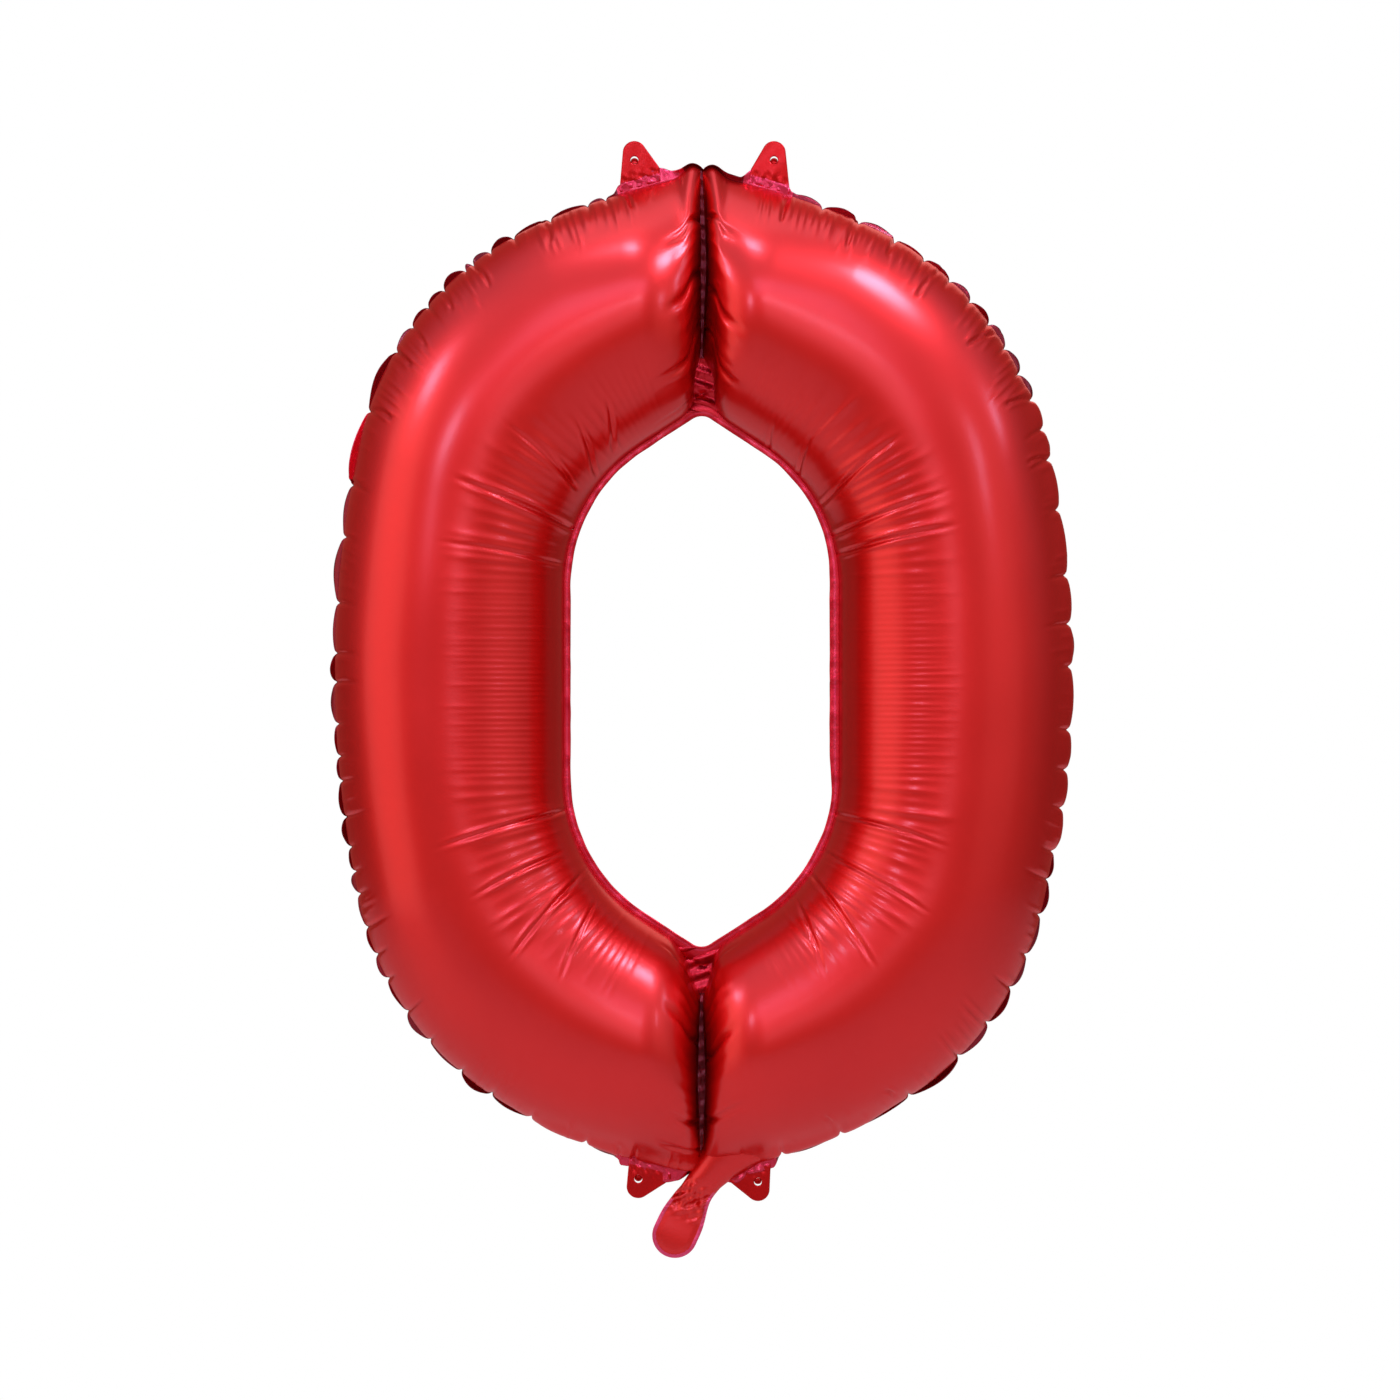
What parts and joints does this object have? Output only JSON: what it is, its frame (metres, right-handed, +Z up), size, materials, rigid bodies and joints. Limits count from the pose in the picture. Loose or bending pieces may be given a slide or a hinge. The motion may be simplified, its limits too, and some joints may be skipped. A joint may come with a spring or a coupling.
{
  "type": "foil balloon",
  "caption": "Inflated metallic foil balloon in the shape of a zero, with hanging tabs and a valved filling tail that fold along their roots.",
  "frame": {"origin": "centre of the overall bounding box, on the seal plane between the two foil sheets", "axes": "+Z up the numeral towards the top hanging tabs, +X to the viewer's right, -Y out of the front face"},
  "size_m": [0.5778, 0.16, 0.86],
  "materials": {
    "foil": "satin red metallised film",
    "valve_film": "clear thin film"
  },
  "bodies": {
    "balloon": {"front_film": "foil", "back_film": "foil", "valve_front_film": "valve_film", "valve_back_film": "valve_film"},
    "tail": {"tail_front_film": "foil", "tail_back_film": "foil"},
    "top_left_tab": {"top_left_tab": "foil"},
    "top_right_tab": {"top_right_tab": "foil"},
    "bottom_left_tab": {"bottom_left_tab": "foil"},
    "bottom_right_tab": {"bottom_right_tab": "foil"}
  },
  "joints": [
    {"name": "top_left_tab_fold", "type": "hinge", "parent": "balloon", "child": "top_left_tab", "pos_m": [-0.04966, 0, 0.40301], "axis": [0.9648, 0, 0.2628], "range_deg": [-90, 90], "stiffness_Nm_per_rad": 0.0002},
    {"name": "top_right_tab_fold", "type": "hinge", "parent": "balloon", "child": "top_right_tab", "pos_m": [0.05468, 0, 0.40161], "axis": [0.9621, 0, -0.2726], "range_deg": [-90, 90], "stiffness_Nm_per_rad": 0.0002},
    {"name": "bottom_left_tab_fold", "type": "hinge", "parent": "balloon", "child": "bottom_left_tab", "pos_m": [-0.04162, 0, -0.36353], "axis": [-0.969, 0, 0.2471], "range_deg": [-90, 90], "stiffness_Nm_per_rad": 0.0002},
    {"name": "bottom_right_tab_fold", "type": "hinge", "parent": "balloon", "child": "bottom_right_tab", "pos_m": [0.03961, 0, -0.36403], "axis": [-0.97, 0, -0.2432], "range_deg": [-90, 90], "stiffness_Nm_per_rad": 0.0002},
    {"name": "tail_fold", "type": "hinge", "parent": "balloon", "child": "tail", "pos_m": [-0.00867, 0, -0.38712], "axis": [-0.9063, 0, 0.4226], "range_deg": [-90, 90], "stiffness_Nm_per_rad": 0.0002}
  ]
}
